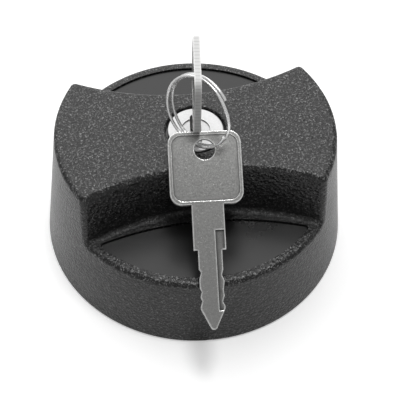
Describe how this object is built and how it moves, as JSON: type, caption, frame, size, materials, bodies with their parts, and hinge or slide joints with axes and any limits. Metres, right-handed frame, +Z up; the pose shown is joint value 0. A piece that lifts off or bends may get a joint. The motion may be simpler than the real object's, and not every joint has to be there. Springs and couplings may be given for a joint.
{
  "type": "locking fuel filler cap",
  "caption": "Round black moulded fuel filler cap with a bow-tie grip bar, centre key lock with a key in it and a spare key on a split ring; bayonet core and gasket inside.",
  "frame": {"origin": "on the cap's axis, in the plane that the skirt's lower rim stands on", "axes": "+Z up along the cap's axis, +X along the grip bar to the right as seen from the side where the spare key hangs, -Y towards the spare key"},
  "size_m": [0.0848, 0.0945, 0.0674],
  "materials": {
    "grained_black": "fine leather-like grain",
    "smooth_black": "smooth satin",
    "core_plastic": "moulded, slightly textured",
    "natural_plastic": "natural acetal",
    "satin_zinc": "satin plated die-cast zinc",
    "zinc": "bare die-cast zinc",
    "nickel_key": "nickel plated, brushed",
    "ring_steel": "bright spring steel",
    "plate_steel": "zinc plated sheet",
    "steel": "plated",
    "wafer_brass": "bare",
    "gasket_rubber": "matt"
  },
  "bodies": {
    "cover": {"cap_shell": "grained_black", "recess_panel": "smooth_black", "panel_screws": "steel", "lock_housing": "zinc", "bolt_keeper": "steel", "housing_clip": "steel", "slip_washer": "natural_plastic"},
    "plug": {"lock_plug": "satin_zinc", "wafer_1": "wafer_brass", "wafer_2": "wafer_brass", "wafer_3": "wafer_brass", "wafer_4": "wafer_brass", "wafer_5": "wafer_brass", "wafer_springs": "steel", "plug_clip": "steel", "lock_key": "nickel_key"},
    "ring": {"key_ring": "ring_steel"},
    "spare": {"spare_key": "nickel_key"},
    "bolt": {"lock_bolt": "zinc"},
    "core": {"core_body": "core_plastic", "neck_gasket": "gasket_rubber", "bayonet_plate": "plate_steel", "plate_screws": "steel", "valve_carrier": "natural_plastic", "carrier_oring": "gasket_rubber", "valve_cup": "natural_plastic", "valve_spring": "steel"},
    "valve": {"valve_disc": "wafer_brass", "valve_seal": "gasket_rubber"}
  },
  "joints": [
    {"name": "core_spin", "type": "hinge", "parent": "cover", "child": "core", "pos_m": [0, 0, 0], "axis": [0, 0, 1], "continuous": true},
    {"name": "key_turn", "type": "hinge", "parent": "cover", "child": "plug", "pos_m": [0, 0, 0], "axis": [0, 0, -1], "range_deg": [0, 90]},
    {"name": "bolt_slide", "type": "slide", "parent": "cover", "child": "bolt", "axis": [1, 0, 0], "range_m": [0, 0.0042]},
    {"name": "ring_swing", "type": "hinge", "parent": "plug", "child": "ring", "pos_m": [0, 0, 0.0626], "axis": [-0.9963, 0.0854, 0], "range_deg": [0, 45]},
    {"name": "spare_key_swing", "type": "hinge", "parent": "ring", "child": "spare", "pos_m": [0.00102, -0.01035, 0.04361], "axis": [-0.0228, -0.4655, 0.8847], "range_deg": [-15, 15]},
    {"name": "valve_lift", "type": "slide", "parent": "core", "child": "valve", "axis": [0, 0, -1], "range_m": [0, 0.001], "stiffness_N_per_m": 50, "springref_m": -0.0016, "deforming": ["valve_spring"]}
  ],
  "couplings": [
    {"joint": "bolt_slide", "follows": "key_turn", "m_per_rad": 0.002673},
    {"joint": "ring_swing", "follows": "key_turn", "ratio": 0.5}
  ]
}
